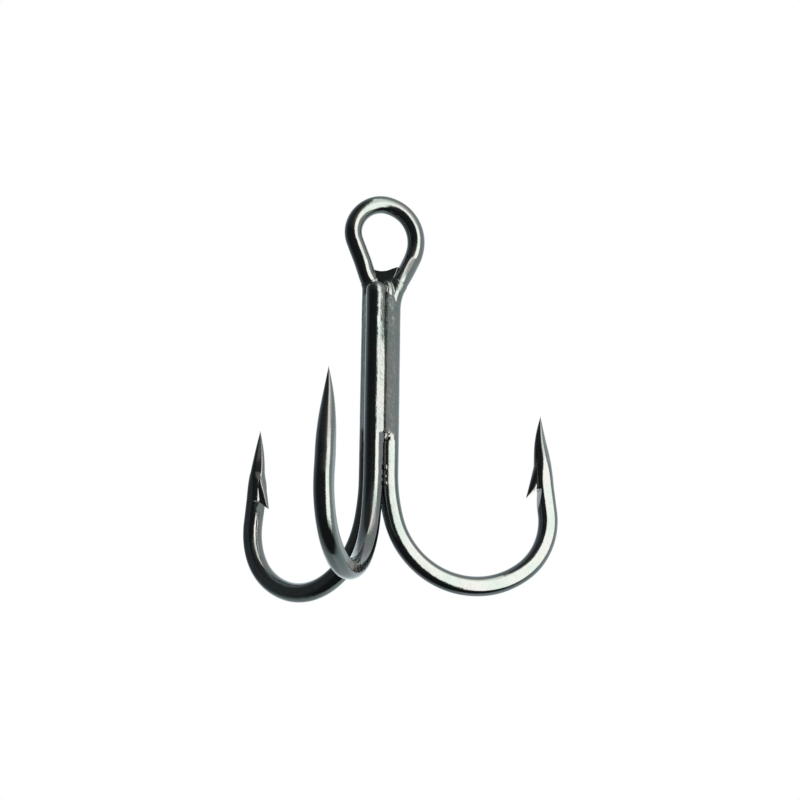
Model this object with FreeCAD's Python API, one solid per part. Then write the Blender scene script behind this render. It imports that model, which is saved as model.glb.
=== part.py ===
import FreeCAD, Part
import math
import os

os.makedirs("parts", exist_ok=True)

V = FreeCAD.Vector

# ---------------------------------------------------------------- driving dimensions (mm)
WIRE = 1.20                       # diameter of the round spring wire both hooks are bent from
FIT_GAP = 0.010                   # play between two wires that lie against each other
PAIR_GAP = 0.04 * WIRE            # slit between the two strands of the double hook
SKIN_GAP = 0.008                  # play between a wire and the braze that wets it

# eye loop: its wire is drawn a little thinner than the shank wire
EYE_WIRE_R = 0.449 * WIRE
EYE_STATIONS = 49
THIN_RUN = 1.6 * WIRE
EYE_HOLE_X = 0.175 * WIRE         # the loop leans to the right of the shank's axis
AXIS_OFFSET = -EYE_HOLE_X
NECK_Z = -3.65 * WIRE             # where the right strand leaves the straight shank
NECK_R_RIGHT = 2.49 * WIRE
NECK_SWEEP_RIGHT = 29.1
SLOPE_RIGHT = 1.45 * WIRE
EYE_R_RIGHT = 2.14 * WIRE
EYE_SWEEP_RIGHT = 102.9
EYE_R_LEFT = 1.41 * WIRE
EYE_SWEEP_LEFT = 127.5
NECK_R_LEFT = 0.75 * WIRE
EYE_TWIST = 32.0                  # the loop is twisted out of the strands' plane, right side backward
EYE_LIFT = 0.12                   # rise of the loop toward its right side
TWIST_LOW_Z = -2.66 * WIRE
TWIST_HIGH_Z = -1.00 * WIRE
WEB_TWIST = 20.0

# hook profile, followed from the shank down, round the bend and up to the point
SHANK_END_Z = -12.22 * WIRE       # where the straight shank starts to bend
FLARE_R = 8.52 * WIRE
FLARE_SWEEP = 15.7
BEND_R = 4.28 * WIRE
BEND_SWEEP = 112.2
TURN_R = 3.28 * WIRE
TURN_SWEEP = 59.6
LEG = 3.10 * WIRE
KICK_R = 6.0 * WIRE
KICK_SWEEP = 17.3
TIP_RUN = 0.09 * WIRE

# headings of the three hooks about the shank, seen from above, 0 is the front (-Y)
HEAD_FRONT = 0.0
HEAD_RIGHT = 120.0
HEAD_LEFT = -120.0
SPLAY_FRONT = 2.1                 # small turn of each bend about its own strand
SPLAY_RIGHT = 0.0
SPLAY_LEFT = 4.6
LEFT_DROP = 0.14 * WIRE           # the left hook hangs a touch lower

# points
POINT_FRONT = 4.3 * WIRE
POINT_SIDE = 3.7 * WIRE
TIP_R = 0.018 * WIRE
SET_BACK_FRONT = 0.07 * WIRE      # the points are ground mostly from the inner side
SET_BACK_RIGHT = 0.09 * WIRE
SET_BACK_LEFT = 0.13 * WIRE
STATIONS = 9

# forged flats on both sides of each bend
FLAT_HALF = 0.44 * WIRE
FLAT_TOP_FRONT = -10.60 * WIRE
FLAT_TOP_RIGHT = -10.45 * WIRE
FLAT_TOP_LEFT = -10.95 * WIRE
FLAT_TOP_POINT = -10.90 * WIRE
FLAT_SPLIT = 5.0 * WIRE

# barb, measured along the leg from the end of the bend (s) and inward from its centre (q)
BARB_LEAVE_S = 2.55 * WIRE
BARB_LEAVE_Q = 0.40 * WIRE
BARB_TIP_S = 0.84 * WIRE
BARB_TIP_Q = 1.03 * WIRE
BARB_ROOT_S = 1.24 * WIRE
BARB_ROOT_Q = 0.30 * WIRE
SCOOP_END_S = 0.20 * WIRE
BARB_HALF = 0.24 * WIRE

# the single hook's shank is cut off square just under the eye
SINGLE_TOP_Z = -2.78 * WIRE
SINGLE_TOP_CHAMFER = 0.08 * WIRE

# braze
BRAZE_TOP_Z = -3.05 * WIRE
BRAZE_END_Z = -10.35 * WIRE
BRAZE_CUSP = 32.0                 # degrees kept clear of the line where two wires touch
BRAZE_FACE = 56.0                 # degrees up to which the braze climbs each wire
BRAZE_DISH = 0.035 * WIRE
NECK_HALF = 0.36 * WIRE
NECK_BRAZE_LOW = -2.90 * WIRE
SADDLE_X = AXIS_OFFSET + 0.17 * WIRE
SADDLE_Z = -1.54 * WIRE
SADDLE_HALF = 0.93 * WIRE
SADDLE_RISE = 0.62 * WIRE
LAP_REACH = 0.36 * WIRE
LAP_RISE = 0.85 * WIRE
LAP_HALF = 0.40 * WIRE
DROP_R = 0.11 * WIRE
DROP_ZS = (-12.00 * WIRE, -12.76 * WIRE)

# ---------------------------------------------------------------- derived
STRAND = (WIRE + FIT_GAP) / math.sqrt(3.0)
AXIS_X = AXIS_OFFSET
AXIS_Y = -STRAND * 0.5
HALF_PAIR = 0.5 * (WIRE + PAIR_GAP)


def outward(head):
    a = math.radians(head)
    return V(math.sin(a), -math.cos(a), 0)


def strand_foot(head):
    """Centre of a strand: the pair lies in the eye's plane, the single hook in the groove before it."""
    if head == HEAD_FRONT:
        return V(AXIS_X, -math.sqrt((WIRE + FIT_GAP) ** 2 - HALF_PAIR ** 2), 0)
    return V(AXIS_X + math.copysign(HALF_PAIR, head), 0, 0)


class Track:
    """A chain of tangent lines and arcs in one upright plane."""

    def __init__(self, origin, across, start_u, start_v, heading):
        self.origin = origin
        self.across = across
        self.u = start_u
        self.v = start_v
        self.h = math.radians(heading)
        self.edges = []
        self.runs = []

    def place(self, u, v):
        return self.origin + self.across * u + V(0, 0, 1) * v

    def line(self, length):
        a = (self.u, self.v, self.h)
        self.u += length * math.cos(self.h)
        self.v += length * math.sin(self.h)
        self.edges.append(Part.LineSegment(self.place(a[0], a[1]), self.place(self.u, self.v)).toShape())
        self.runs.append((a, length, 0.0))

    def arc(self, radius, sweep):
        turn = math.radians(sweep)
        a = (self.u, self.v, self.h)
        curve = math.copysign(1.0 / radius, turn)
        length = radius * abs(turn)
        mid = walk(a, length * 0.5, curve)
        end = walk(a, length, curve)
        bow = Part.Arc(self.place(a[0], a[1]), self.place(mid[0], mid[1]), self.place(end[0], end[1]))
        self.edges.append(bow.toShape())
        self.runs.append((a, length, curve))
        self.u, self.v, self.h = end

    def length(self):
        return sum(run[1] for run in self.runs)

    def at(self, distance):
        left = distance
        for start, length, curve in self.runs:
            if left <= length + 1e-9:
                return walk(start, left, curve)
            left -= length
        return (self.u, self.v, self.h)

    def point(self, distance):
        u, v, h = self.at(distance)
        return self.place(u, v)

    def direction(self, distance):
        u, v, h = self.at(distance)
        return self.across * math.cos(h) + V(0, 0, 1) * math.sin(h)

    def ring(self, distance, radius, set_back=0.0):
        ahead = self.direction(distance)
        side = self.across.cross(V(0, 0, 1))
        lift = ahead.cross(side)
        centre = self.point(distance) + lift * set_back
        frame = FreeCAD.Matrix(side.x, lift.x, ahead.x, centre.x,
                               side.y, lift.y, ahead.y, centre.y,
                               side.z, lift.z, ahead.z, centre.z,
                               0, 0, 0, 1)
        circle = Part.makeCircle(radius)
        circle.Placement = FreeCAD.Placement(frame)
        return Part.Wire([circle])


def walk(state, length, curve):
    u, v, h = state
    if abs(curve) < 1e-9:
        return (u + length * math.cos(h), v + length * math.sin(h), h)
    g = h + curve * length
    return (u + (math.sin(g) - math.sin(h)) / curve, v - (math.cos(g) - math.cos(h)) / curve, g)


def sweep_round(track, radius):
    spine = Part.Wire(track.edges)
    return spine.makePipeShell([track.ring(0.0, radius)], True, False)


def prism(track, outline, half):
    """Closed outline given in the track's plane, thickened to both sides."""
    side = track.across.cross(V(0, 0, 1))
    ring = [track.place(u, v) - side * half for u, v in outline]
    face = Part.Face(Part.makePolygon(ring + [ring[0]]))
    return face.extrude(side * (2.0 * half))


def hook_track(head, splay, top_z, drop):
    across = outward(head + splay)
    track = Track(strand_foot(head), across, 0.0, top_z, -90.0)
    track.line(top_z - SHANK_END_Z + drop)
    track.arc(FLARE_R, FLARE_SWEEP)
    track.arc(BEND_R, BEND_SWEEP)
    track.arc(TURN_R, TURN_SWEEP)
    track.line(LEG)
    track.arc(KICK_R, -KICK_SWEEP)
    track.line(TIP_RUN)
    return track


def point_radius(gap, point_length):
    left = max(0.0, 1.0 - gap / point_length)
    return max(TIP_R, 0.5 * WIRE * (1.0 - left * left))


def pointed_end(track, point_length, set_back):
    total = track.length()
    rings = []
    for i in range(STATIONS):
        share = (1.0 - i / (STATIONS - 1.0)) ** 1.4
        gap = point_length * share
        lean = set_back * math.sin(math.pi * (gap / point_length) ** 0.75)
        rings.append(track.ring(total - gap, point_radius(gap, point_length), lean))
    return Part.makeLoft(rings, True, False)


def shorten(track, cut):
    """The same chain with the last stretch of the given length taken off."""
    body = Track(track.origin, track.across, 0.0, 0.0, 0.0)
    start = track.runs[0][0]
    body.u, body.v, body.h = start
    left = track.length() - cut
    for begin, length, curve in track.runs:
        step = min(length, left)
        if step <= 1e-6:
            break
        if abs(curve) < 1e-9:
            body.line(step)
        else:
            body.arc(1.0 / abs(curve), math.copysign(math.degrees(step * abs(curve)), curve))
        left -= step
    return body


def leg_place(track, s, q):
    start = track.runs[4][0]
    u, v, h = walk(start, s, 0.0)
    return (u - q * math.sin(h), v + q * math.cos(h))


def barb(track):
    leave = leg_place(track, BARB_LEAVE_S, BARB_LEAVE_Q)
    tip = leg_place(track, BARB_TIP_S, BARB_TIP_Q)
    root = leg_place(track, BARB_ROOT_S, BARB_ROOT_Q)
    inside_low = leg_place(track, BARB_ROOT_S + 0.25 * WIRE, 0.10 * WIRE)
    inside_high = leg_place(track, BARB_LEAVE_S - 0.25 * WIRE, 0.10 * WIRE)
    return prism(track, [leave, tip, root, inside_low, inside_high], BARB_HALF)


def barb_scoop(track):
    low = leg_place(track, SCOOP_END_S, 0.5 * WIRE)
    root = leg_place(track, BARB_ROOT_S, BARB_ROOT_Q)
    free_high = leg_place(track, BARB_TIP_S, 1.2 * WIRE)
    free_low = leg_place(track, SCOOP_END_S, 1.0 * WIRE)
    return prism(track, [low, root, free_high, free_low], 0.6 * WIRE)


def forging(track, flat_top_shank):
    side = track.across.cross(V(0, 0, 1))
    far = 12.0 * WIRE
    low = -22.0 * WIRE
    outline = [(-1.2 * WIRE, flat_top_shank), (FLAT_SPLIT, flat_top_shank), (FLAT_SPLIT, FLAT_TOP_POINT),
               (far, FLAT_TOP_POINT), (far, low), (-1.2 * WIRE, low)]
    ring = [track.place(u, v) for u, v in outline]
    face = Part.Face(Part.makePolygon(ring + [ring[0]]))
    slab = face.extrude(side * WIRE)
    one = slab.copy()
    one.translate(side * FLAT_HALF)
    two = slab.copy()
    two.translate(side * (-FLAT_HALF - WIRE))
    return [one, two]


def hook(head, splay, top_z, drop, point_length, set_back, flat_top):
    track = hook_track(head, splay, top_z, drop)
    shank_and_bend = sweep_round(shorten(track, point_length), 0.5 * WIRE)
    solid = shank_and_bend.fuse(pointed_end(track, point_length, set_back))
    for slab in forging(track, flat_top):
        solid = solid.cut(slab)
    solid = solid.cut(barb_scoop(track))
    return solid.fuse(barb(track))


def eye_track():
    """Up the right strand, over the loop and down the left strand."""
    half = HALF_PAIR
    track = Track(V(AXIS_X, 0, 0), V(1, 0, 0), half, NECK_Z - WIRE, 90.0)
    track.line(WIRE)
    track.arc(NECK_R_RIGHT, -NECK_SWEEP_RIGHT)
    track.line(SLOPE_RIGHT)
    track.arc(EYE_R_RIGHT, EYE_SWEEP_RIGHT)
    track.arc(EYE_R_LEFT, EYE_SWEEP_LEFT)
    back = NECK_SWEEP_RIGHT + 180.0 - EYE_SWEEP_RIGHT - EYE_SWEEP_LEFT
    turn = math.radians(-back)
    fall = -half - track.u - NECK_R_LEFT * (1.0 - math.cos(turn))
    track.line(fall / math.sin(turn))
    track.arc(NECK_R_LEFT, back)
    track.line(track.v - (NECK_Z - WIRE))
    return track


def ease(x):
    x = max(0.0, min(1.0, x))
    return x * x * (3.0 - 2.0 * x)


def twist_share(z):
    return ease((z - TWIST_LOW_Z) / (TWIST_HIGH_Z - TWIST_LOW_Z))


def twist_angle(z):
    return math.radians(EYE_TWIST) * twist_share(z)


def twisted(p):
    a = twist_angle(p.z)
    rise = EYE_LIFT * p.x * twist_share(p.z)
    return V(p.x * math.cos(a) - p.y * math.sin(a), p.x * math.sin(a) + p.y * math.cos(a), p.z + rise)


def twisted_ring(track, distance, radius):
    step = 0.02 * WIRE
    centre = twisted(track.point(distance))
    ahead = (twisted(track.point(distance + step)) - twisted(track.point(distance - step))).normalize()
    a = twist_angle(centre.z)
    side = V(math.sin(a), -math.cos(a), 0)
    side = (side - ahead * side.dot(ahead)).normalize()
    lift = ahead.cross(side)
    frame = FreeCAD.Matrix(side.x, lift.x, ahead.x, centre.x,
                           side.y, lift.y, ahead.y, centre.y,
                           side.z, lift.z, ahead.z, centre.z,
                           0, 0, 0, 1)
    circle = Part.makeCircle(radius)
    circle.Placement = FreeCAD.Placement(frame)
    return Part.Wire([circle])


def eye_loop(grow=0.0):
    track = eye_track()
    total = track.length()
    drop = 0.5 * WIRE - EYE_WIRE_R
    rings = []
    for i in range(EYE_STATIONS):
        run = total * i / (EYE_STATIONS - 1.0)
        thin = ease((run - 1.6 * WIRE) / THIN_RUN) * ease((total - run - 1.6 * WIRE) / THIN_RUN)
        rings.append(twisted_ring(track, run, 0.5 * WIRE - drop * thin + grow))
    return Part.makeLoft(rings, True, False)


def double_hook_wire():
    top = NECK_Z - WIRE
    right = hook(HEAD_RIGHT, SPLAY_RIGHT, top, 0.0, POINT_SIDE, SET_BACK_RIGHT, FLAT_TOP_RIGHT)
    left = hook(HEAD_LEFT, SPLAY_LEFT, top, LEFT_DROP, POINT_SIDE, SET_BACK_LEFT, FLAT_TOP_LEFT)
    return eye_loop().fuse([right, left]).removeSplitter()


def single_hook_wire():
    solid = hook(HEAD_FRONT, SPLAY_FRONT, SINGLE_TOP_Z, 0.0, POINT_FRONT, SET_BACK_FRONT, FLAT_TOP_FRONT)
    foot = strand_foot(HEAD_FRONT)
    collar = Part.makeCylinder(WIRE, SINGLE_TOP_CHAMFER, foot + V(0, 0, SINGLE_TOP_Z - SINGLE_TOP_CHAMFER))
    cone = Part.makeCone(0.5 * WIRE, 0.5 * WIRE - SINGLE_TOP_CHAMFER, SINGLE_TOP_CHAMFER,
                         foot + V(0, 0, SINGLE_TOP_Z - SINGLE_TOP_CHAMFER))
    return solid.cut(collar.cut(cone)).removeSplitter()


def groove_away(foot, other):
    """Direction out of the groove between two strands, square to the line joining them."""
    line = (other - foot).normalize()
    away = (foot + other) * 0.5 - V(AXIS_X, AXIS_Y, 0)
    return (away - line * away.dot(line)).normalize()


def on_wire(head, toward, degrees):
    """Point on the skin of one strand, turned from the line of contact with its neighbour."""
    foot = strand_foot(head)
    other = strand_foot(toward)
    line = (other - foot).normalize()
    away = groove_away(foot, other)
    a = math.radians(degrees)
    return foot + (line * math.cos(a) + away * math.sin(a)) * (0.5 * WIRE + SKIN_GAP)


def groove_braze(head_a, head_b, face_degrees, top_z, end_z):
    """Fillet of braze lying in the groove between two strands."""
    low = BRAZE_CUSP
    mid = 0.5 * (low + face_degrees)
    a_low = on_wire(head_a, head_b, low)
    a_top = on_wire(head_a, head_b, face_degrees)
    b_low = on_wire(head_b, head_a, low)
    b_top = on_wire(head_b, head_a, face_degrees)
    away = ((a_top + b_top) * 0.5 - V(AXIS_X, AXIS_Y, 0)).normalize()
    dish = (a_top + b_top) * 0.5 - away * BRAZE_DISH
    edges = [Part.LineSegment(a_low, b_low).toShape(),
             Part.Arc(b_low, on_wire(head_b, head_a, mid), b_top).toShape(),
             Part.Arc(b_top, dish, a_top).toShape(),
             Part.Arc(a_top, on_wire(head_a, head_b, mid), a_low).toShape()]
    face = Part.Face(Part.Wire(edges))
    solid = face.extrude(V(0, 0, top_z - end_z))
    solid.translate(V(0, 0, end_z))
    return solid


def core_braze(top_z, end_z):
    """Thread of braze in the three-cornered channel between all the strands."""
    heads = (HEAD_FRONT, HEAD_RIGHT, HEAD_LEFT)
    edges = []
    first = None
    last = None
    for i in range(3):
        head = heads[i]
        foot = strand_foot(head)
        inner = outward(head) * -1.0
        side = inner.cross(V(0, 0, 1))
        trio = []
        for degrees in (-13.0, 0.0, 13.0):
            a = math.radians(degrees)
            trio.append(foot + (inner * math.cos(a) + side * math.sin(a)) * (0.5 * WIRE + SKIN_GAP))
        if last is not None:
            edges.append(Part.LineSegment(last, trio[0]).toShape())
        if first is None:
            first = trio[0]
        edges.append(Part.Arc(trio[0], trio[1], trio[2]).toShape())
        last = trio[2]
    edges.append(Part.LineSegment(last, first).toShape())
    face = Part.Face(Part.Wire(edges))
    solid = face.extrude(V(0, 0, top_z - end_z))
    solid.translate(V(0, 0, end_z))
    return solid


def neck_braze(wires):
    """Saddle of braze in the fork under the eye, lapping over the single hook's cut end."""
    plane_y = 0.0
    high_right = V(SADDLE_X + SADDLE_HALF, plane_y, SADDLE_Z + SADDLE_RISE)
    bottom = V(SADDLE_X, plane_y, SADDLE_Z)
    high_left = V(SADDLE_X - SADDLE_HALF, plane_y, SADDLE_Z + SADDLE_RISE)
    low_left = V(AXIS_X - 0.42 * WIRE, plane_y, NECK_BRAZE_LOW)
    low_right = V(AXIS_X + 0.42 * WIRE, plane_y, NECK_BRAZE_LOW)
    edges = [Part.Arc(high_right, bottom, high_left).toShape(), Part.LineSegment(high_left, low_left).toShape(),
             Part.LineSegment(low_left, low_right).toShape(), Part.LineSegment(low_right, high_right).toShape()]
    web = Part.Face(Part.Wire(edges)).extrude(V(0, 2.0 * NECK_HALF, 0))
    web.translate(V(0, -NECK_HALF, 0))
    web.rotate(V(0, 0, 0), V(0, 0, 1), WEB_TWIST)
    foot = strand_foot(HEAD_FRONT)
    lap = [V(AXIS_X, plane_y, SINGLE_TOP_Z + SKIN_GAP), V(AXIS_X, foot.y - LAP_REACH, SINGLE_TOP_Z + SKIN_GAP),
           V(AXIS_X, foot.y - LAP_REACH, SINGLE_TOP_Z + 0.10 * WIRE), V(AXIS_X, foot.y, SINGLE_TOP_Z + 0.42 * WIRE),
           V(AXIS_X, plane_y - NECK_HALF, SINGLE_TOP_Z + LAP_RISE), V(AXIS_X, plane_y, SINGLE_TOP_Z + LAP_RISE)]
    pad = Part.Face(Part.makePolygon(lap + [lap[0]])).extrude(V(2.0 * LAP_HALF, 0, 0))
    pad.translate(V(-LAP_HALF, 0, 0))
    body = web.fuse(pad)
    for wire in wires:
        body = body.cut(wire)
    best = sorted(body.Solids, key=lambda solid: solid.Volume)
    return best[-1].removeSplitter()


def grown_wires():
    """The wires a hair fatter, so that what is cut by them keeps its play."""
    fat = 0.5 * WIRE + SKIN_GAP
    loop = eye_loop(SKIN_GAP)
    single = Part.makeCylinder(fat, 6.0 * WIRE, strand_foot(HEAD_FRONT) + V(0, 0, SINGLE_TOP_Z - 6.0 * WIRE + SKIN_GAP))
    return [loop, single]


def front_right_braze():
    fillet = groove_braze(HEAD_FRONT, HEAD_RIGHT, BRAZE_FACE, BRAZE_TOP_Z, BRAZE_END_Z)
    fillet = fillet.cut(grown_wires()[0])
    return sorted(fillet.Solids, key=lambda solid: solid.Volume)[-1]


def solder_drops():
    """Small drops that ran down the front right groove past the end of the braze."""
    foot_a = strand_foot(HEAD_FRONT)
    foot_b = strand_foot(HEAD_RIGHT)
    mid = (foot_a + foot_b) * 0.5
    away = groove_away(foot_a, foot_b)
    half = 0.5 * (foot_b - foot_a).Length
    drops = []
    for i in range(len(DROP_ZS)):
        radius = DROP_R * (1.0 - 0.18 * i)
        reach = math.sqrt((0.5 * WIRE + radius + SKIN_GAP) ** 2 - half ** 2)
        centre = mid + away * reach + V(0, 0, DROP_ZS[i])
        drops.append(Part.makeSphere(radius, centre))
    return Part.makeCompound(drops)


def save(shape, node):
    shape.exportStep("parts/" + node + ".step")


save(double_hook_wire(), "double_hook_wire")
save(single_hook_wire(), "single_hook_wire")
save(neck_braze(grown_wires()), "braze_neck")
save(front_right_braze(), "braze_front_right")
save(groove_braze(HEAD_FRONT, HEAD_LEFT, BRAZE_FACE - 10.0, BRAZE_TOP_Z, BRAZE_END_Z), "braze_front_left")
save(groove_braze(HEAD_RIGHT, HEAD_LEFT, BRAZE_FACE, NECK_Z - 0.2 * WIRE, BRAZE_END_Z), "braze_back")
save(core_braze(NECK_Z - 0.2 * WIRE, BRAZE_END_Z), "braze_core")
save(solder_drops(), "solder_drops")
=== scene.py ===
import math

import bmesh
import bpy
from mathutils import Matrix, Vector, noise


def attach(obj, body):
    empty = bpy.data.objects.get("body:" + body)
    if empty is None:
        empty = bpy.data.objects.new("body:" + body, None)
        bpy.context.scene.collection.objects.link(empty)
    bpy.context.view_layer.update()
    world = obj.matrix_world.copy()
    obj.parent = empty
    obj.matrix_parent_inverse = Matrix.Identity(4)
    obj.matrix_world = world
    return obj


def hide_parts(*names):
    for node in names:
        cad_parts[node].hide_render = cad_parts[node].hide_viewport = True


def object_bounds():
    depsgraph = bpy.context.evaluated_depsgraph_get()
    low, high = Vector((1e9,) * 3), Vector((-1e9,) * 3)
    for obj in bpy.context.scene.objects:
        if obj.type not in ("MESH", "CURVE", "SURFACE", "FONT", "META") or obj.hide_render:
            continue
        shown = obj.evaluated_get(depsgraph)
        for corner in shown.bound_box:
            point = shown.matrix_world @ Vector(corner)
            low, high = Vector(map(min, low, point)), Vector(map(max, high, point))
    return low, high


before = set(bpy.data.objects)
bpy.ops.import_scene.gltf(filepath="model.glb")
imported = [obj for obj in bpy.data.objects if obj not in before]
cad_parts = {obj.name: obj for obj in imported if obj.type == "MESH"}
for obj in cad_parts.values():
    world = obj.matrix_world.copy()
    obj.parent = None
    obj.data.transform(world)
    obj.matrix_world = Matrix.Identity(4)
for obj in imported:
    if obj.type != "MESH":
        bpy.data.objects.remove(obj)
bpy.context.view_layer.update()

# ------------------------------------------------------------------ sizes, in metres
WIRE = 0.0012
GAP = 0.00001
HALF_PAIR = 0.52 * WIRE
STRAND = (WIRE + GAP) / math.sqrt(3.0)
AXIS = Vector((-0.175 * WIRE, -0.5 * STRAND, 0.0))
STRAND_Y = 0.0
EYE_R = 0.449 * WIRE
NECK_Z = -3.65 * WIRE
SHANK_END = -12.22 * WIRE
SINGLE_TOP = -2.78 * WIRE
SIDES = 64
# the eye is turned out of the strands' plane by EYE_TWIST degrees; its right side rises by EYE_LIFT of its reach
EYE_TWIST = 32.0
EYE_LIFT = 0.12
TWIST_LOW = -2.66 * WIRE
TWIST_HIGH = -1.00 * WIRE
WOBBLE = 0.010

# eye profile, up the right strand and down the left: radii and runs in wire diameters, sweeps in degrees
NECK_RIGHT_R, NECK_RIGHT_SWEEP = 2.49, 29.1
SLOPE_RIGHT = 1.45
EYE_RIGHT_R, EYE_RIGHT_SWEEP = 2.14, 102.9
EYE_LEFT_R, EYE_LEFT_SWEEP = 1.41, 127.5
NECK_LEFT_R = 0.75

# bend profile after the straight shank: (length or radius, sweep in degrees), sweep 0 is a straight run
BEND = ((8.52, 15.7), (4.28, 112.2), (3.28, 59.6), (3.10, 0.0), (6.0, -17.3), (0.09, 0.0))
# name: heading, splay, drop, point length, top of the forged flats, faceted point
HOOKS = {
    "front": (0.0, 2.1, 0.0, 4.3, -10.60, False),
    "right": (120.0, 0.0, 0.0, 3.7, -10.45, True),
    "left": (-120.0, 4.6, 0.14, 3.7, -10.95, True),
}
# the points are ground from the inner side, so their middle is set back outward
SET_BACK = {"front": 0.07, "right": 0.09, "left": 0.13}
FLAT_HALF = 0.44
# barb in the leg's own frame: distance up the leg, distance in from its centre, in wire diameters
BARB_LEAVE = (2.55, 0.42)
BARB_TIP = (0.84, 1.03)
BARB_ROOT = (1.24, 0.30)


def outward(degrees):
    a = math.radians(degrees)
    return Vector((math.sin(a), -math.cos(a), 0.0))


def foot(head):
    """Centre of a strand: the pair lies in the eye's plane, the single hook in the groove before it."""
    if head == 0.0:
        return Vector((AXIS.x, -math.sqrt((WIRE + GAP) ** 2 - HALF_PAIR ** 2), 0.0))
    return Vector((AXIS.x + math.copysign(HALF_PAIR, head), STRAND_Y, 0.0))


def walk(state, length, curve):
    u, v, h = state
    if abs(curve) < 1e-9:
        return (u + length * math.cos(h), v + length * math.sin(h), h)
    g = h + curve * length
    return (u + (math.sin(g) - math.sin(h)) / curve, v - (math.cos(g) - math.cos(h)) / curve, g)


class Track:
    """Tangent lines and arcs in the upright plane through origin along across."""

    def __init__(self, origin, across, u, v, heading):
        self.origin = origin
        self.across = across
        self.state = (u, v, math.radians(heading))
        self.runs = []

    def go(self, length, curve=0.0):
        self.runs.append((self.state, length, curve))
        self.state = walk(self.state, length, curve)

    def arc(self, radius, sweep):
        turn = math.radians(sweep)
        self.go(radius * abs(turn), math.copysign(1.0 / radius, turn))

    def total(self):
        return sum(run[1] for run in self.runs)

    def at(self, distance):
        left = distance
        for start, length, curve in self.runs:
            if left <= length:
                return walk(start, left, curve)
            left -= length
        return self.state

    def frame(self, distance):
        """Point, direction of travel and the left-hand normal at a distance."""
        u, v, h = self.at(distance)
        up = Vector((0, 0, 1))
        point = self.origin + self.across * u + up * v
        travel = self.across * math.cos(h) + up * math.sin(h)
        normal = self.across * -math.sin(h) + up * math.cos(h)
        return (point, travel, normal)

    def local(self, run, s, q):
        u, v, h = walk(self.runs[run][0], s, 0.0)
        return self.origin + self.across * (u - q * math.sin(h)) + Vector((0, 0, v + q * math.cos(h)))


def hook_track(name, top):
    head, splay, drop = HOOKS[name][:3]
    track = Track(foot(head), outward(head + splay), 0.0, top, -90.0)
    track.go(top - SHANK_END + drop * WIRE)
    for size, sweep in BEND:
        if sweep:
            track.arc(size * WIRE, sweep)
        else:
            track.go(size * WIRE)
    return track


def eye_track():
    track = Track(Vector((AXIS.x, STRAND_Y, 0.0)), Vector((1, 0, 0)), HALF_PAIR, NECK_Z - WIRE, 90.0)
    track.go(WIRE)
    track.arc(NECK_RIGHT_R * WIRE, -NECK_RIGHT_SWEEP)
    track.go(SLOPE_RIGHT * WIRE)
    track.arc(EYE_RIGHT_R * WIRE, EYE_RIGHT_SWEEP)
    track.arc(EYE_LEFT_R * WIRE, EYE_LEFT_SWEEP)
    back = NECK_RIGHT_SWEEP + 180.0 - EYE_RIGHT_SWEEP - EYE_LEFT_SWEEP
    lean = math.radians(-back)
    fall = -HALF_PAIR - track.state[0] - NECK_LEFT_R * WIRE * (1.0 - math.cos(lean))
    track.go(fall / math.sin(lean))
    track.arc(NECK_LEFT_R * WIRE, back)
    track.go(track.state[1] - (NECK_Z - WIRE))
    return track


def ease(x):
    x = max(0.0, min(1.0, x))
    return x * x * (3.0 - 2.0 * x)


def soft_min(a, b, k):
    h = max(0.0, k - abs(a - b)) / k
    return min(a, b) - h * h * k * 0.25


def section(radius, flat, facet):
    """One ring as (inward, sideways) pairs: round, pressed flat on two sides, with ground facets near a point."""
    ring = []
    for k in range(SIDES):
        phi = 2.0 * math.pi * k / SIDES
        r = radius
        if facet > 0.0:
            for centre in (42.0, 138.0, 222.0, 318.0):
                c = math.cos(phi - math.radians(centre))
                if c > 0.2:
                    r = soft_min(r, radius * (1.0 - 0.12 * facet) / c, 0.02 * radius)
        q = r * math.cos(phi)
        w = r * math.sin(phi)
        if flat < 0.5 * WIRE:
            w = math.copysign(soft_min(abs(w), flat, 0.035 * WIRE), w)
        ring.append((q, w))
    return ring


def hook_stations(name, top, begin):
    """Rings of one hook from a distance along its track to the tip: (centre, travel, inward, section)."""
    head, splay, drop, point, flat_top, faceted = HOOKS[name]
    track = hook_track(name, top)
    total = track.total()
    point *= WIRE
    flat_from = top - flat_top * WIRE
    out = []
    run = begin
    while run < total - 0.002 * WIRE:
        gap = total - run
        out.append(run)
        if gap < 0.5 * WIRE:
            run += max(0.012 * WIRE, gap * 0.14)
        elif abs(run - flat_from) < 0.3 * WIRE:
            run += 0.03 * WIRE
        else:
            run += 0.09 * WIRE if gap < point else 0.11 * WIRE
    out.append(total)
    rings = []
    for run in out:
        gap = total - run
        left = max(0.0, 1.0 - gap / point)
        radius = max(0.012 * WIRE, 0.5 * WIRE * (1.0 - left * left))
        lean = SET_BACK[name] * WIRE * math.sin(math.pi * min(1.0, gap / point) ** 0.75)
        press = ease((run - flat_from) / (0.16 * WIRE))
        shallow = 0.026 * (1.0 - ease((run - flat_from) / (9.0 * WIRE)))
        flat = WIRE * (0.52 - (0.52 - FLAT_HALF - shallow) * press)
        facet = ease((2.7 * WIRE - gap) / (0.5 * WIRE)) if faceted else 0.0
        centre, travel, inward = track.frame(run)
        rings.append((centre - inward * lean, travel, inward, section(radius, flat, facet)))
    return track, rings


def strand_rings(head, splay, top, low, high_dir):
    """Straight shank between two heights, turning the ring's start from the hook's plane to the eye's."""
    rings = []
    n = 60
    base = foot(head)
    a = outward(head + splay)
    for i in range(n):
        t = i / n
        z = top + (low - top) * t
        inward = high_dir.lerp(a, ease(t)).normalized()
        rings.append((base + Vector((0, 0, z)), Vector((0, 0, -1)), inward, section(0.5 * WIRE, WIRE, 0.0)))
    return rings


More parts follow.
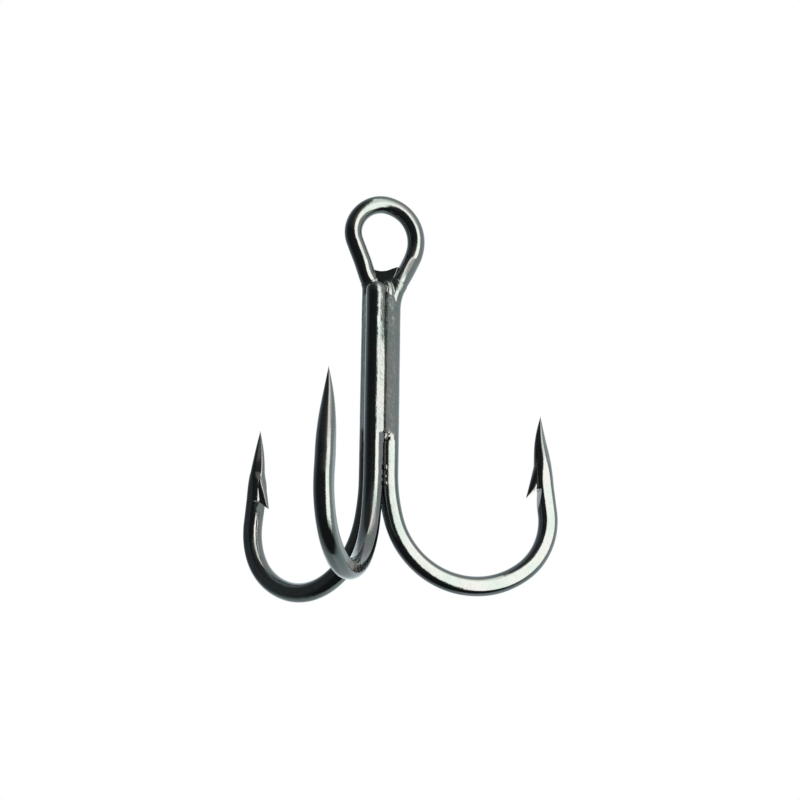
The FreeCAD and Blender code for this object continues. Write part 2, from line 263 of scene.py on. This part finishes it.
def skin(name, rings):
    """Closed mesh through the rings."""
    bm = bmesh.new()
    loops = []
    for centre, travel, inward, ring in rings:
        side = travel.cross(inward)
        loop = []
        for q, w in ring:
            reach = inward * q + side * w
            lump = 1.0 + WOBBLE * noise.noise((centre + reach) * (0.9 / WIRE)) + \
                0.35 * WOBBLE * noise.noise((centre + reach) * (2.7 / WIRE))
            loop.append(bm.verts.new(centre + reach * lump))
        loops.append(loop)
    for one, two in zip(loops, loops[1:]):
        for k in range(len(one)):
            j = (k + 1) % len(one)
            bm.faces.new((one[k], one[j], two[j], two[k]))
    for loop, centre in ((loops[0], rings[0][0]), (loops[-1], rings[-1][0])):
        mid = bm.verts.new(centre)
        for k in range(len(loop)):
            bm.faces.new((loop[k], loop[(k + 1) % len(loop)], mid))
    bmesh.ops.recalc_face_normals(bm, faces=bm.faces)
    mesh = bpy.data.meshes.new(name)
    bm.to_mesh(mesh)
    bm.free()
    obj = bpy.data.objects.new(name, mesh)
    bpy.context.scene.collection.objects.link(obj)
    return obj


def prism(name, points, side, half):
    bm = bmesh.new()
    low = [bm.verts.new(p - side * half) for p in points]
    high = [bm.verts.new(p + side * half) for p in points]
    bm.faces.new(low[::-1])
    bm.faces.new(high)
    for k in range(len(points)):
        j = (k + 1) % len(points)
        bm.faces.new((low[k], low[j], high[j], high[k]))
    bmesh.ops.recalc_face_normals(bm, faces=bm.faces)
    mesh = bpy.data.meshes.new(name)
    bm.to_mesh(mesh)
    bm.free()
    obj = bpy.data.objects.new(name, mesh)
    bpy.context.scene.collection.objects.link(obj)
    return obj


def carve(obj, tool, operation):
    mod = obj.modifiers.new("cut", "BOOLEAN")
    mod.object = tool
    mod.operation = operation
    mod.solver = "EXACT"
    mesh = bpy.data.meshes.new_from_object(obj.evaluated_get(bpy.context.evaluated_depsgraph_get()))
    obj.modifiers.clear()
    old = obj.data
    obj.data = mesh
    bpy.data.meshes.remove(old)
    bpy.data.objects.remove(tool)


def barb_points(track, pairs):
    return [track.local(4, s * WIRE, q * WIRE) for s, q in pairs]


def barb_tool(track):
    """The scoop that the barb is cut from: a ramp into the wire that ends under the barb."""
    pts = barb_points(track, ((0.10, 0.52), (BARB_ROOT[0] - 0.10, 0.27), BARB_ROOT, (0.95, 1.25), (0.1, 1.25)))
    return prism("scoop", pts, track.across.cross(Vector((0, 0, 1))), 0.7 * WIRE)


def barb_sliver(track):
    """The barb: a tongue with a rounded back and a flat underside, narrowing to its tip."""
    side = track.across.cross(Vector((0, 0, 1)))
    rings = []
    n = 16
    for i in range(n + 1):
        t = i / n
        bow = 0.045 * math.sin(math.pi * t)
        top_s = BARB_LEAVE[0] + 0.35 + (BARB_TIP[0] - BARB_LEAVE[0] - 0.35) * t
        top_q = 0.25 + (BARB_TIP[1] - 0.25) * t ** 1.15 + bow * 0.3
        low_s = 2.6 + (BARB_ROOT[0] - 2.6) * min(1.0, t / 0.55) if t < 0.55 else \
            BARB_ROOT[0] + (BARB_TIP[0] - BARB_ROOT[0]) * (t - 0.55) / 0.45
        low_q = 0.05 + (BARB_ROOT[1] - 0.05) * min(1.0, t / 0.55) if t < 0.55 else \
            BARB_ROOT[1] + (BARB_TIP[1] - 0.015 - BARB_ROOT[1]) * (t - 0.55) / 0.45
        back, belly = barb_points(track, ((top_s, top_q), (low_s, low_q)))
        half = (0.34 * (1.0 - t) ** 0.75 + 0.035) * (0.45 + 0.55 * ease(t / 0.35)) * WIRE
        rise = back - belly
        ring = []
        for k in range(24):
            a = math.pi * k / 23.0
            lift = 0.35 + 0.65 * math.sin(a) ** 0.6
            ring.append(belly + rise * lift + side * (half * math.cos(a)))
        ring.append(belly - side * (half * 0.8))
        ring.append(belly + side * (half * 0.8))
        rings.append(ring)
    bm = bmesh.new()
    loops = [[bm.verts.new(p) for p in ring] for ring in rings]
    for one, two in zip(loops, loops[1:]):
        for k in range(len(one)):
            j = (k + 1) % len(one)
            bm.faces.new((one[k], one[j], two[j], two[k]))
    bm.faces.new(loops[0])
    bm.faces.new(loops[-1][::-1])
    bmesh.ops.recalc_face_normals(bm, faces=bm.faces)
    mesh = bpy.data.meshes.new("sliver")
    bm.to_mesh(mesh)
    bm.free()
    obj = bpy.data.objects.new("sliver", mesh)
    bpy.context.scene.collection.objects.link(obj)
    return obj


def smooth(obj, angle=35.0):
    for poly in obj.data.polygons:
        poly.use_smooth = True
    obj.data.set_sharp_from_angle(angle=math.radians(angle))


def flip(rings):
    """The same rings followed the other way, so that one skin can run through both hooks."""
    out = []
    for centre, travel, inward, ring in reversed(rings):
        out.append((centre, -travel, inward, ring))
    return out


def twist_angle(z):
    return math.radians(EYE_TWIST) * ease((z - TWIST_LOW) / (TWIST_HIGH - TWIST_LOW))


def twisted(p):
    a = twist_angle(p.z)
    rise = EYE_LIFT * p.x * a / math.radians(EYE_TWIST)
    return Vector((p.x * math.cos(a) - p.y * math.sin(a), p.x * math.sin(a) + p.y * math.cos(a), p.z + rise))


def twisted_frame(loop, run):
    """The eye is twisted out of the strands' plane: its right side goes back."""
    step = 0.02 * WIRE
    centre, _, inside = loop.frame(run)
    ahead = (twisted(loop.frame(run + step)[0]) - twisted(loop.frame(run - step)[0])).normalized()
    a = twist_angle(centre.z)
    inside = Vector((inside.x * math.cos(a), inside.x * math.sin(a), inside.z))
    inside = (inside - ahead * inside.dot(ahead)).normalized()
    return twisted(centre), ahead, inside


def make_double():
    top = NECK_Z - WIRE
    split = 5.0 * WIRE
    right_track, right = hook_stations("right", top, split)
    left_track, left = hook_stations("left", top, split)
    right_strand = strand_rings(120.0, 0.0, top, top - split, Vector((1, 0, 0)))
    left_strand = strand_rings(-120.0, HOOKS["left"][1], top, top - split, Vector((-1, 0, 0)))
    loop = eye_track()
    total = loop.total()
    eye = []
    n = 190
    for i in range(n):
        run = total * i / n
        thin = ease((run - 1.6 * WIRE) / (1.6 * WIRE)) * ease((total - run - 1.6 * WIRE) / (1.6 * WIRE))
        centre, travel, inside = twisted_frame(loop, run)
        eye.append((centre, travel, -inside, section(0.5 * WIRE - (0.5 * WIRE - EYE_R) * thin, WIRE, 0.0)))
    # travel runs from the right tip up, over the eye and down to the left tip
    rings = flip(right) + flip(right_strand) + eye[1:] + left_strand + left
    obj = skin("double_hook", rings)
    for track in (right_track, left_track):
        carve(obj, barb_tool(track), "DIFFERENCE")
        carve(obj, barb_sliver(track), "UNION")
    smooth(obj)
    return obj


def make_single():
    track, rings = hook_stations("front", SINGLE_TOP, 0.0)
    head = rings[0]
    edge = 0.07 * WIRE
    capped = [(head[0], head[1], head[2], section(0.5 * WIRE - edge, WIRE, 0.0))]
    for i in range(1, 5):
        a = math.radians(22.5 * i)
        centre = head[0] + Vector((0, 0, -edge * (1.0 - math.cos(a))))
        capped.append((centre, head[1], head[2], section(0.5 * WIRE - edge * (1.0 - math.sin(a)), WIRE, 0.0)))
    obj = skin("single_hook", capped + rings[2:])
    carve(obj, barb_tool(track), "DIFFERENCE")
    carve(obj, barb_sliver(track), "UNION")
    smooth(obj)
    return obj


# ------------------------------------------------------------------ braze
BRAZE_TOP = -2.80
BACK_TOP = -3.3
BRAZE_END = -10.40


def on_strand(head, azimuth, radius):
    return foot(head) + outward(azimuth) * (radius * WIRE)


def rough(point, scale, seed=0.0):
    return noise.noise(point * (scale / WIRE) + Vector((seed, 3.1 * seed, -1.7 * seed)))


def closed_loft(name, loops_xyz):
    bm = bmesh.new()
    loops = [[bm.verts.new(p) for p in loop] for loop in loops_xyz]
    for one, two in zip(loops, loops[1:]):
        for k in range(len(one)):
            j = (k + 1) % len(one)
            bm.faces.new((one[k], one[j], two[j], two[k]))
    bm.faces.new(loops[0][::-1])
    bm.faces.new(loops[-1])
    bmesh.ops.triangulate(bm, faces=[f for f in bm.faces if len(f.verts) > 4])
    bmesh.ops.recalc_face_normals(bm, faces=bm.faces)
    mesh = bpy.data.meshes.new(name)
    bm.to_mesh(mesh)
    bm.free()
    obj = bpy.data.objects.new(name, mesh)
    bpy.context.scene.collection.objects.link(obj)
    return obj


def lap_radius(head, azimuth, radius, z):
    """The braze that lies on the single hook's strand swells toward the lower end of the joint."""
    if head != 0.0 or not 40.0 < azimuth < 80.0:
        return radius
    return 0.5 + (radius - 0.5) * (0.30 + 0.70 * ease((-4.0 - z / WIRE) / 3.0))


def fill(name, knots, inner, top, end, jag, step=0.03):
    """A run of braze in a groove, knots across its face and inner back through the wires.

    A knot is (strand, azimuth, radius, roughness). The face is crossed in seven steps from knot to knot.
    """
    loops = []
    n = int((top - end) / step)
    for i in range(n + 1):
        z = (top + (end - top) * i / n) * WIRE
        fade = ease(i * step / 0.35) * ease((n - i) * step / 0.25)
        ring = []
        for (h0, a0, r0, j0), (h1, a1, r1, j1) in zip(knots, knots[1:]):
            p0 = on_strand(h0, a0, lap_radius(h0, a0, r0, z))
            p1 = on_strand(h1, a1, lap_radius(h1, a1, r1, z))
            for k in range(7):
                t = k / 7.0
                p = p0.lerp(p1, t) + Vector((0, 0, z))
                amount = (j0 + (j1 - j0) * t) * jag * WIRE
                out = (p - Vector((AXIS.x, -0.3 * WIRE, p.z))).normalized()
                amount *= 1.0 + 1.6 * ease((p.z / WIRE + 5.6) / 1.6)
                wave = rough(p, 2.0, 1.0) * 0.6 + rough(p, 6.0, 2.0) * 0.3 + rough(p, 15.0, 4.0) * 0.18
                base = foot(h0 if t < 0.5 else h1) + Vector((0, 0, z))
                sunk = base + (p - base).normalized() * (0.493 * WIRE)
                ring.append(sunk.lerp(p + out * (wave * amount), fade))
        ring.append(on_strand(*knots[-1][:3]) + Vector((0, 0, z)))
        for head, azimuth, radius in inner:
            ring.append(on_strand(head, azimuth, radius) + Vector((0, 0, z)))
        loops.append(ring)
    return closed_loft(name, loops)


def melt(name, parts, voxel, rounds, grain):
    """Joins shapes into one lump with rounded joints, the way molten braze draws itself together."""
    for part in parts[1:]:
        base = parts[0]
        bm = bmesh.new()
        bm.from_mesh(base.data)
        bm.from_mesh(part.data)
        bm.to_mesh(base.data)
        bm.free()
        bpy.data.objects.remove(part)
    obj = parts[0]
    obj.name = name
    mod = obj.modifiers.new("melt", "REMESH")
    mod.mode = "VOXEL"
    mod.voxel_size = voxel
    mod = obj.modifiers.new("soften", "SMOOTH")
    mod.factor = 0.6
    mod.iterations = rounds
    mesh = bpy.data.meshes.new_from_object(obj.evaluated_get(bpy.context.evaluated_depsgraph_get()))
    obj.modifiers.clear()
    obj.data = mesh
    for vert in mesh.vertices:
        p = vert.co.copy()
        vert.co = p + vert.normal * ((rough(p, 2.2, 7.0) * 0.6 + rough(p, 7.0, 9.0) * 0.3) * grain)
    return obj


def blob(centre, radii, name="blob"):
    bm = bmesh.new()
    bmesh.ops.create_icosphere(bm, subdivisions=4, radius=1.0)
    for vert in bm.verts:
        vert.co = centre + Vector((vert.co.x * radii[0], vert.co.y * radii[1], vert.co.z * radii[2]))
    mesh = bpy.data.meshes.new(name)
    bm.to_mesh(mesh)
    bm.free()
    obj = bpy.data.objects.new(name, mesh)
    bpy.context.scene.collection.objects.link(obj)
    return obj


def tube(points, radius, name="tube"):
    rings = []
    for i, p in enumerate(points):
        ahead = (points[min(i + 1, len(points) - 1)] - points[max(i - 1, 0)]).normalized()
        side = ahead.cross(Vector((0, 1, 0))).normalized()
        turns = [math.pi * k / 16.0 for k in range(32)]
        ring = [(radius * math.cos(turn), radius * math.sin(turn)) for turn in turns]
        rings.append((p, ahead, side, ring))
    return skin(name, rings)


def make_neck():
    """Saddle under the eye's opening, joined to both strands and lapping over the single hook's end."""
    loop = eye_track()
    total = loop.total()
    sleeve = 0.5 * WIRE - 0.004 * WIRE
    right = [twisted(loop.frame(1.0 * WIRE + i * 0.12 * WIRE)[0]) for i in range(13)]
    left = [twisted(loop.frame(total - 1.75 * WIRE - i * 0.12 * WIRE)[0]) for i in range(8)]
    mid = AXIS.x + 0.19 * WIRE
    arc = []
    for i in range(13):
        a = math.radians(240.0 + 50.0 * i / 12.0)
        arc.append(Vector((mid + 1.10 * WIRE * math.cos(a), 0.0, (-0.58 + 1.10 * math.sin(a)) * WIRE)))
    arc.append(Vector((mid + 0.80 * WIRE, 0.0, -1.50 * WIRE)))
    low_right = Vector((AXIS.x + 0.42 * WIRE, 0.0, -2.95 * WIRE))
    low_left = Vector((AXIS.x - 0.42 * WIRE, 0.0, -2.95 * WIRE))
    outline = arc + [low_right, low_left]
    web = prism("web", outline, Vector((0, 1, 0)), 0.33 * WIRE)
    single = foot(0.0)
    cap = blob(Vector((single.x, single.y + 0.06 * WIRE, SINGLE_TOP - 0.02 * WIRE)),
               (0.52 * WIRE, 0.60 * WIRE, 0.42 * WIRE))
    chin = blob(Vector((single.x + 0.44 * WIRE, single.y + 0.50 * WIRE, SINGLE_TOP - 0.05 * WIRE)),
                (0.40 * WIRE, 0.36 * WIRE, 0.62 * WIRE))
    cheek = blob(Vector((single.x - 0.30 * WIRE, single.y + 0.40 * WIRE, SINGLE_TOP - 0.02 * WIRE)),
                 (0.26 * WIRE, 0.30 * WIRE, 0.42 * WIRE))
    parts = [web, tube(right, sleeve), tube(left, sleeve), cap, chin, cheek]
    return melt("neck_saddle", parts, 0.030 * WIRE, 5, 0.016 * WIRE)


def make_front_right():
    knots = [(0.0, 24.0, 0.497, 0.1), (0.0, 32.0, 0.503, 0.2), (0.0, 44.0, 0.509, 0.3), (0.0, 58.0, 0.531, 0.5),
             (0.0, 71.0, 0.588, 0.9), (0.0, 78.0, 0.508, 0.5), (0.0, 106.0, 0.503, 0.2), (0.0, 98.0, 0.622, 1.0),
             (0.0, 103.0, 0.648, 0.8), (120.0, 60.0, 0.512, 0.25), (120.0, 76.0, 0.499, 0.1)]
    inner = [(120.0, 60.0, 0.40), (120.0, -10.0, 0.44), (120.0, -60.0, 0.47), (0.0, 120.0, 0.47),
             (0.0, 90.0, 0.44), (0.0, 40.0, 0.42)]
    return fill("front_right_fill", knots, inner, BRAZE_TOP, BRAZE_END, 0.030)


def bead(name, azimuth, reach, z, radii):
    place = Vector((AXIS.x, AXIS.y, 0.0)) + outward(azimuth) * (reach * WIRE) + Vector((0, 0, z * WIRE))
    obj = blob(place, [r * WIRE for r in radii], name)
    for vert in obj.data.vertices:
        away = (vert.co - place).normalized()
        vert.co = vert.co + away * (0.045 * WIRE * rough(vert.co, 4.0, 5.0))
    return obj


def join(name, objs):
    bm = bmesh.new()
    for obj in objs:
        bm.from_mesh(obj.data)
    bm.to_mesh(objs[0].data)
    bm.free()
    for obj in objs[1:]:
        bpy.data.objects.remove(obj)
    objs[0].name = name
    return objs[0]


def make_groove(name, h0, h1, a0, a1, b0, b1, top, end, sign):
    """Plain fillet between two strands: knots from (h0, a0) to (h1, a1), returning inside the wires."""
    knots = [(h0, a0 - sign * 8.0, 0.499, 0.1), (h0, a0, 0.506, 0.4), (h1, a1, 0.506, 0.4),
             (h1, a1 + sign * 8.0, 0.499, 0.1)]
    inner = [(h1, b1, 0.45), (h0, b0, 0.45)]
    return fill(name, knots, inner, top, end, 0.03, 0.05)


double = make_double()
single = make_single()
neck = make_neck()
front_right = join("front_right_fill", [
    make_front_right(),
    bead("bead", 57.0, 0.52, -10.33, (0.21, 0.19, 0.27)),
    bead("bead", 70.0, 0.62, -10.12, (0.17, 0.14, 0.22)),
    bead("bead", 40.0, 0.60, -10.20, (0.10, 0.09, 0.20)),
])
front_left = make_groove("front_left_fill", 0.0, -120.0, -100.0, -38.0, -140.0, -20.0,
                         BRAZE_TOP, BRAZE_END + 0.3, -1.0)
back = make_groove("back_fill", 120.0, -120.0, 168.0, 192.0, 250.0, 110.0, BACK_TOP, BRAZE_END, 1.0)
drops = join("braze_drops", [bead("drop", 60.0, 0.66, z, (r, r * 0.9, r * 1.25))
                             for z, r in ((-11.98, 0.115), (-12.42, 0.06), (-12.78, 0.085))])
for piece, node, slot in ((double, "double_hook_wire", "plated_wire"), (single, "single_hook_wire", "plated_wire"),
                          (neck, "braze_neck", "plated_braze"), (front_right, "braze_front_right", "plated_braze"),
                          (front_left, "braze_front_left", "plated_braze"), (back, "braze_back", "plated_braze"),
                          (drops, "solder_drops", "plated_braze")):
    if piece not in (double, single):
        smooth(piece, 60.0)
    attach(piece, "root")
    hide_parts(node)


# ------------------------------------------------------------------ materials
class Nodes:
    """Short helpers for building a node tree."""

    def __init__(self, tree):
        self.tree = tree
        tree.nodes.clear()

    def add(self, kind, **values):
        node = self.tree.nodes.new(kind)
        for key, value in values.items():
            setattr(node, key, value)
        return node

    def link(self, a, b):
        self.tree.links.new(a, b)

    def put(self, socket, value):
        if hasattr(value, "is_output") or hasattr(value, "links"):
            self.link(value, socket)
        else:
            socket.default_value = value

    def math(self, operation, a, b=0.0, c=0.0, clamp=False):
        node = self.add("ShaderNodeMath", operation=operation, use_clamp=clamp)
        for socket, value in zip(node.inputs, (a, b, c)):
            self.put(socket, value)
        return node.outputs[0]

    def noise(self, vector, scale, detail=2.0, rough_=0.5, distortion=0.0):
        node = self.add("ShaderNodeTexNoise")
        self.link(vector, node.inputs["Vector"])
        node.inputs["Scale"].default_value = scale
        node.inputs["Detail"].default_value = detail
        node.inputs["Roughness"].default_value = rough_
        node.inputs["Distortion"].default_value = distortion
        return node.outputs["Fac"]

    def ramp(self, value, stops, mode="LINEAR"):
        node = self.add("ShaderNodeValToRGB")
        node.color_ramp.interpolation = mode
        self.put(node.inputs[0], value)
        while len(node.color_ramp.elements) < len(stops):
            node.color_ramp.elements.new(1.0)
        for element, (place, colour) in zip(node.color_ramp.elements, stops):
            element.position = place
            element.color = (*colour, 1.0) if len(colour) == 3 else colour
        return node.outputs[0]

    def mix(self, factor, a, b, blend="MIX"):
        node = self.add("ShaderNodeMix", data_type="RGBA", blend_type=blend)
        self.put(node.inputs["Factor"], factor)
        colour_in = [i for i in node.inputs if i.type == "RGBA"]
        self.put(colour_in[0], a)
        self.put(colour_in[1], b)
        return [o for o in node.outputs if o.type == "RGBA"][0]


def grey(v):
    return (v, v, v)


def black_nickel(name, dull, grain):
    """Bright black plating: dark mirror metal with a drift of tint, fine wear flecks and a faint ripple."""
    mat = bpy.data.materials.new(name)
    mat.use_nodes = True
    n = Nodes(mat.node_tree)
    where = n.add("ShaderNodeTexCoord").outputs["Object"]
    broad = n.noise(where, 0.7 / WIRE, 2.0)
    fine = n.noise(where, 9.0 / WIRE, 4.0, 0.6)
    flecks = n.noise(where, 22.0 / WIRE, 2.0, 0.5)
    green, neutral, violet = (0.152, 0.172, 0.167), (0.170, 0.180, 0.175), (0.184, 0.173, 0.180)
    tint = n.ramp(broad, [(0.30, green), (0.50, neutral), (0.70, violet)])
    spot = n.ramp(flecks, [(0.30, grey(0.55)), (0.38, grey(1.0))])
    colour = n.mix(1.0, tint, spot, "MULTIPLY")
    shader = n.add("ShaderNodeBsdfPrincipled")
    n.link(colour, shader.inputs["Base Color"])
    shader.inputs["Metallic"].default_value = 1.0
    roughness = n.ramp(fine, [(0.35, grey(dull)), (0.72, grey(dull + 0.10))])
    n.link(roughness, shader.inputs["Roughness"])
    swell = n.noise(where, 3.2 / WIRE, 3.0, 0.6)
    ripple = n.math("MULTIPLY_ADD", swell, 1.9, n.math("MULTIPLY", fine, 0.16 * grain))
    bump = n.add("ShaderNodeBump")
    bump.inputs["Strength"].default_value = 0.5
    bump.inputs["Distance"].default_value = 0.010 * WIRE * grain
    n.link(ripple, bump.inputs["Height"])
    n.link(bump.outputs[0], shader.inputs["Normal"])
    out = n.add("ShaderNodeOutputMaterial")
    n.link(shader.outputs[0], out.inputs["Surface"])
    return mat


def give(obj, mat):
    obj.data.materials.clear()
    obj.data.materials.append(mat)


wire_mat = black_nickel("black_nickel", 0.06, 0.7)
braze_mat = black_nickel("plated_braze", 0.20, 2.2)
core_mat = black_nickel("bare_braze", 0.30, 2.0)
for piece in (double, single):
    give(piece, wire_mat)
for piece in (neck, front_right, front_left, back, drops):
    give(piece, braze_mat)
core = bpy.data.objects["braze_core"]
if core.material_slots:
    core.material_slots[0].material = core_mat
else:
    core.data.materials.append(core_mat)

# ------------------------------------------------------------------ camera
AZIMUTH = 16.916
ELEVATION = -12.917
ROLL = 0.773
DISTANCE = 96.77 * WIRE
SIDEWAYS = 1.112 * WIRE
AIM_Z = -8.284 * WIRE
LENS = 86.45


def make_camera():
    a, e, roll = math.radians(AZIMUTH), math.radians(ELEVATION), math.radians(ROLL)
    back = Vector((math.sin(a) * math.cos(e), -math.cos(a) * math.cos(e), math.sin(e)))
    right = Vector((math.cos(a), math.sin(a), 0.0))
    up = back.cross(right)
    right, up = right * math.cos(roll) + up * math.sin(roll), up * math.cos(roll) - right * math.sin(roll)
    origin = Vector((AXIS.x, AXIS.y, -0.153 * WIRE))
    place = origin + Vector((0, 0, AIM_Z)) + right * SIDEWAYS + back * DISTANCE
    data = bpy.data.cameras.new("camera")
    data.lens = LENS
    data.sensor_width = 36.0
    data.clip_start = 0.001
    data.clip_end = 20.0
    cam = bpy.data.objects.new("camera", data)
    cam.matrix_world = Matrix.Translation(place) @ Matrix((right, up, back)).transposed().to_4x4()
    bpy.context.scene.collection.objects.link(cam)
    bpy.context.scene.camera = cam


make_camera()


# ------------------------------------------------------------------ studio
def studio_axes():
    """The studio's own front, right and up: the lights stand round the view the object is shown from."""
    a, e = math.radians(AZIMUTH), math.radians(ELEVATION)
    front = Vector((math.sin(a) * math.cos(e), -math.cos(a) * math.cos(e), math.sin(e)))
    right = Vector((math.cos(a), math.sin(a), 0.0))
    return front, right, front.cross(right)


def turned(stops):
    """Stops (degrees round from the front, brightness, tint) as ramp places and colours, divided by PEAK."""
    return [((az + 180.0) / 360.0, tuple(v * t / PEAK for t in tint)) for az, v, tint in stops]


# what polished metal sees round it, level with the view, above it and below it
PEAK = 6.0
COOL = (0.90, 1.02, 1.06)
BLUE = (0.84, 1.0, 1.12)
WARM = (1.0, 1.0, 0.94)
NEUTRAL = (0.97, 1.02, 0.98)
LEVEL = [(-180, 1.1, COOL), (-150, 1.1, COOL), (-141, 0.55, BLUE), (-126, 0.42, BLUE), (-104, 0.28, BLUE),
         (-88, 0.08, COOL), (-60, 0.035, COOL), (0, 0.05, COOL), (18, 0.10, COOL), (22, 1.2, WARM), (26, 5.2, WARM),
         (59, 5.2, WARM), (63, 1.6, WARM), (69, 1.1, NEUTRAL), (76, 0.90, NEUTRAL), (100, 0.98, COOL),
         (150, 1.0, COOL), (180, 1.1, COOL)]
HIGH = [(-180, 0.65, COOL), (-120, 0.38, BLUE), (-90, 0.10, COOL), (-30, 0.08, COOL), (0, 0.2, WARM),
        (18, 0.7, WARM), (25, 3.6, WARM), (50, 3.6, WARM), (56, 1.9, WARM), (75, 1.9, WARM), (90, 0.9, NEUTRAL),
        (180, 0.8, COOL)]
LOW = [(-180, 0.65, COOL), (-125, 0.55, COOL), (-100, 0.2, COOL), (-80, 0.03, COOL), (76, 0.03, COOL),
       (90, 0.45, COOL), (105, 0.8, COOL), (150, 0.85, COOL), (180, 0.8, COOL)]


def make_world():
    world = bpy.data.worlds.new("studio")
    world.use_nodes = True
    n = Nodes(world.node_tree)
    ray = n.add("ShaderNodeTexCoord").outputs["Generated"]
    parts = []
    for axis in studio_axes():
        dot = n.add("ShaderNodeVectorMath", operation="DOT_PRODUCT")
        n.link(ray, dot.inputs[0])
        dot.inputs[1].default_value = axis
        parts.append(dot.outputs["Value"])
    front, right, up = parts
    round_ = n.math("MULTIPLY_ADD", n.math("ARCTAN2", right, front), 0.5 / math.pi, 0.5)
    level = n.ramp(round_, turned(LEVEL))
    high = n.ramp(round_, turned(HIGH))
    low = n.ramp(round_, turned(LOW))
    rise = n.math("MULTIPLY", n.math("ARCSINE", up), 180.0 / math.pi)
    to_high = n.math("DIVIDE", n.math("SUBTRACT", rise, 30.0), 8.0, clamp=True)
    to_low = n.math("DIVIDE", n.math("SUBTRACT", -24.0, rise), 16.0, clamp=True)
    room = n.mix(to_low, n.mix(to_high, level, high), low)
    path = n.add("ShaderNodeLightPath")
    glossy = n.add("ShaderNodeBackground")
    n.link(room, glossy.inputs["Color"])
    glossy.inputs["Strength"].default_value = PEAK
    plain = n.add("ShaderNodeBackground")
    plain.inputs["Color"].default_value = (0.97, 0.98, 1.0, 1.0)
    plain.inputs["Strength"].default_value = 1.0
    white = n.add("ShaderNodeBackground")
    white.inputs["Color"].default_value = (1.0, 1.0, 1.0, 1.0)
    white.inputs["Strength"].default_value = 1.0
    first = n.add("ShaderNodeMixShader")
    n.link(path.outputs["Is Glossy Ray"], first.inputs[0])
    n.link(plain.outputs[0], first.inputs[1])
    n.link(glossy.outputs[0], first.inputs[2])
    second = n.add("ShaderNodeMixShader")
    n.link(path.outputs["Is Camera Ray"], second.inputs[0])
    n.link(first.outputs[0], second.inputs[1])
    n.link(white.outputs[0], second.inputs[2])
    out = n.add("ShaderNodeOutputWorld")
    n.link(second.outputs[0], out.inputs["Surface"])
    bpy.context.scene.world = world


def make_floor():
    """Pale floor under the bends. It shows only from above, because the main view looks up from below it."""
    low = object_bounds()[0].z
    bm = bmesh.new()
    bmesh.ops.create_grid(bm, x_segments=1, y_segments=1, size=4.0)
    mesh = bpy.data.meshes.new("floor")
    bm.to_mesh(mesh)
    bm.free()
    floor = bpy.data.objects.new("floor", mesh)
    floor.location = (0.0, 0.0, low)
    bpy.context.scene.collection.objects.link(floor)
    mat = bpy.data.materials.new("floor")
    mat.use_nodes = True
    n = Nodes(mat.node_tree)
    pale = n.add("ShaderNodeBsdfDiffuse")
    pale.inputs["Color"].default_value = (0.86, 0.86, 0.85, 1.0)
    clear = n.add("ShaderNodeBsdfTransparent")
    back_side = n.add("ShaderNodeNewGeometry").outputs["Backfacing"]
    both = n.add("ShaderNodeMixShader")
    n.link(back_side, both.inputs[0])
    n.link(pale.outputs[0], both.inputs[1])
    n.link(clear.outputs[0], both.inputs[2])
    out = n.add("ShaderNodeOutputMaterial")
    n.link(both.outputs[0], out.inputs["Surface"])
    mesh.materials.append(mat)
    floor.visible_glossy = False
    floor.visible_shadow = False
    lamp = bpy.data.lights.new("overhead", "AREA")
    lamp.shape = "DISK"
    lamp.size = 0.10
    lamp.energy = 0.25
    holder = bpy.data.objects.new("overhead", lamp)
    holder.location = (-0.05, -0.04, 0.14)
    aim = Vector((0.0, 0.0, low)) - holder.location
    holder.rotation_euler = aim.to_track_quat("-Z", "Y").to_euler()
    holder.visible_glossy = False
    bpy.context.scene.collection.objects.link(holder)


make_world()
make_floor()
bpy.context.scene.view_settings.view_transform = "Standard"
